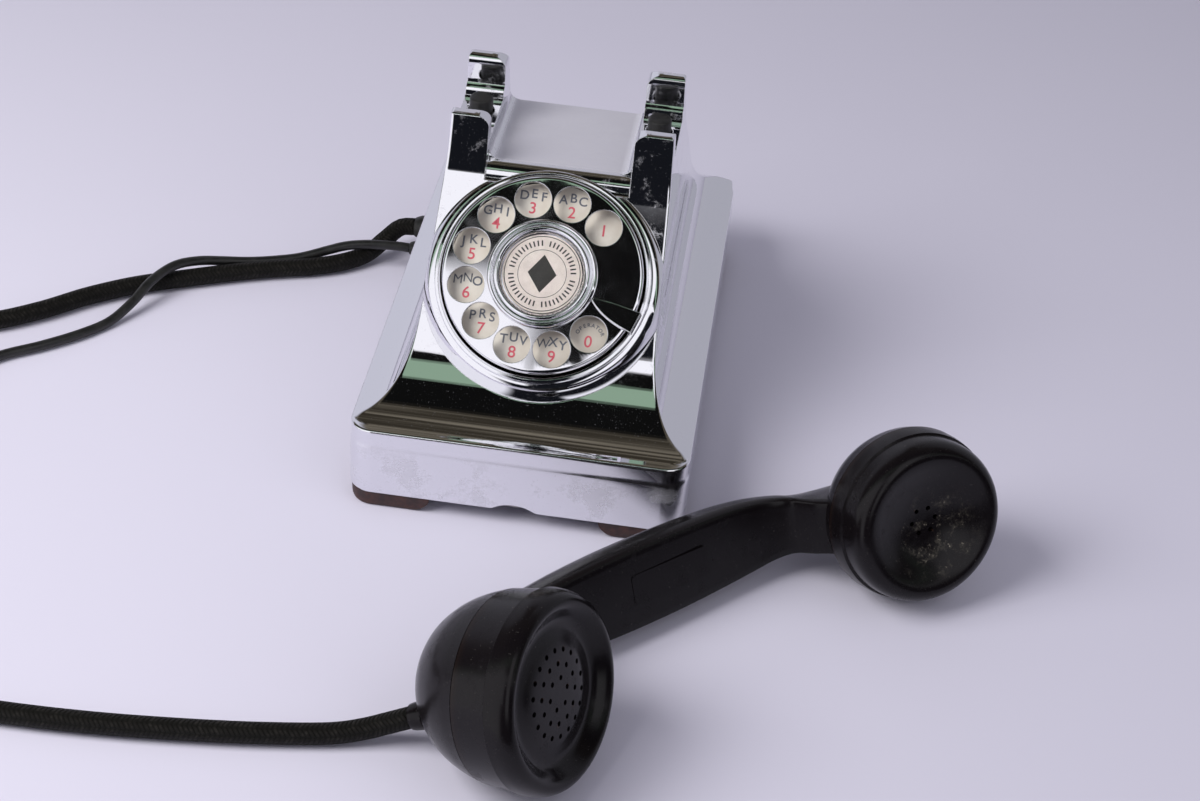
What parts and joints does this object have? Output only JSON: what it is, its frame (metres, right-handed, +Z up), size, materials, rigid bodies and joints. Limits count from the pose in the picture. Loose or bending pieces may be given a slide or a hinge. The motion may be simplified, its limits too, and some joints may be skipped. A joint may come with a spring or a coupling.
{
  "type": "rotary desk telephone",
  "caption": "Desk telephone with a plated housing, rotary dial, cradle with plungers and a separate corded handset lying off its cradle.",
  "frame": {"origin": "centre of the footprint of the telephone with its handset, on the desk top that the feet rest on", "axes": "+X to the telephone's right as the user faces its dial, +Y to its rear, +Z up"},
  "size_m": [0.5024, 0.3572, 0.128],
  "materials": {
    "chrome": "polished, hazed and lightly pitted plating",
    "phenolic": "polished black phenolic, worn at its edges",
    "enamel": "satin cream enamel with figures",
    "card": "matt paper card",
    "window": "clear window",
    "steel": "satin",
    "brass": "satin",
    "winding": "varnished copper winding",
    "foot_leather": "matt brown",
    "braid": "braided cloth sheath",
    "line_rubber": "smooth sheath",
    "dark_plastic": "satin moulded"
  },
  "bodies": {
    "base": {"base_plate": "steel", "base_screw_front": "steel", "base_screw_rear": "steel", "clapper_pin": "steel", "condenser": "steel", "cord_grommet": "dark_plastic", "dial_case": "chrome", "dial_frame": "steel", "dial_spring": "steel", "finger_stop": "chrome", "foot_front_left": "foot_leather", "foot_front_right": "foot_leather", "foot_rear_left": "foot_leather", "foot_rear_right": "foot_leather", "gong_left": "brass", "gong_post_left": "steel", "gong_post_right": "steel", "gong_right": "brass", "handset_cord_back": "braid", "handset_cord_coil": "braid", "handset_cord_out": "braid", "hook_bracket": "steel", "hook_contacts": "phenolic", "hook_pin": "steel", "hook_spring": "brass", "housing": "chrome", "induction_coil": "winding", "line_cord_coil": "line_rubber", "line_cord_end": "line_rubber", "line_cord_out": "line_rubber", "line_grommet": "dark_plastic", "line_plug": "dark_plastic", "number_plate": "enamel", "pulse_contacts": "phenolic", "ringer_coil_left": "winding", "ringer_coil_right": "winding", "ringer_frame": "steel", "ringer_magnet": "steel", "terminal_strip": "phenolic"},
    "dial_rotor": {"finger_wheel": "chrome", "card_ring": "chrome", "number_card": "card", "card_window": "window", "dial_shaft": "steel", "dial_main_gear": "brass"},
    "pulse_wheel": {"pulse_shaft": "brass", "pulse_gear": "brass"},
    "governor": {"governor": "brass"},
    "plunger_left": {"plunger_left": "phenolic"},
    "plunger_right": {"plunger_right": "phenolic"},
    "hook_lever": {"hook_lever": "steel"},
    "clapper": {"clapper": "steel"},
    "handset": {"handset_handle": "phenolic", "transmitter_cap": "phenolic", "receiver_cap": "phenolic", "transmitter_unit": "steel", "receiver_unit": "steel", "transmitter_contacts": "brass", "handset_cord_sleeve": "phenolic", "handset_cord_end": "braid"}
  },
  "joints": [
    {"name": "dial_turn", "type": "hinge", "parent": "base", "child": "dial_rotor", "pos_m": [-0.05235, 0.02164, 0.0809], "axis": [0, -0.6921, 0.7218], "range_deg": [-322, 0], "stiffness_Nm_per_rad": 0.01},
    {"name": "pulse_turn", "type": "hinge", "parent": "base", "child": "pulse_wheel", "pos_m": [-0.07357, 0.03048, 0.08938], "axis": [0, -0.6921, 0.7218], "range_deg": [-10, 1942]},
    {"name": "governor_turn", "type": "hinge", "parent": "base", "child": "governor", "pos_m": [-0.07864, 0.02263, 0.08185], "axis": [0, -0.6921, 0.7218], "range_deg": [-7740, 10]},
    {"name": "hook_swing", "type": "hinge", "parent": "base", "child": "hook_lever", "pos_m": [-0.05235, 0.10364, 0.0815], "axis": [1, 0, 0], "range_deg": [0, 16.1], "stiffness_Nm_per_rad": 0.06, "springref_deg": -8.59},
    {"name": "plunger_left_press", "type": "slide", "parent": "base", "child": "plunger_left", "axis": [0, 0, 1], "range_m": [-0.006, 0]},
    {"name": "plunger_right_press", "type": "slide", "parent": "base", "child": "plunger_right", "axis": [0, 0, 1], "range_m": [-0.006, 0]},
    {"name": "clapper_swing", "type": "hinge", "parent": "base", "child": "clapper", "pos_m": [-0.05235, 0.11614, 0.02], "axis": [0, 0, 1], "range_deg": [-2.5, 2.5], "stiffness_Nm_per_rad": 0.003},
    {"name": "handset_lift", "type": "slide", "parent": "base", "child": "handset", "axis": [0, 0, 1], "range_m": [0, 0.15]}
  ],
  "couplings": [
    {"joint": "pulse_turn", "follows": "dial_turn", "ratio": -6},
    {"joint": "governor_turn", "follows": "dial_turn", "ratio": 24},
    {"joint": "plunger_left_press", "follows": "hook_swing", "m_per_rad": -0.0213},
    {"joint": "plunger_right_press", "follows": "hook_swing", "m_per_rad": -0.0213}
  ]
}
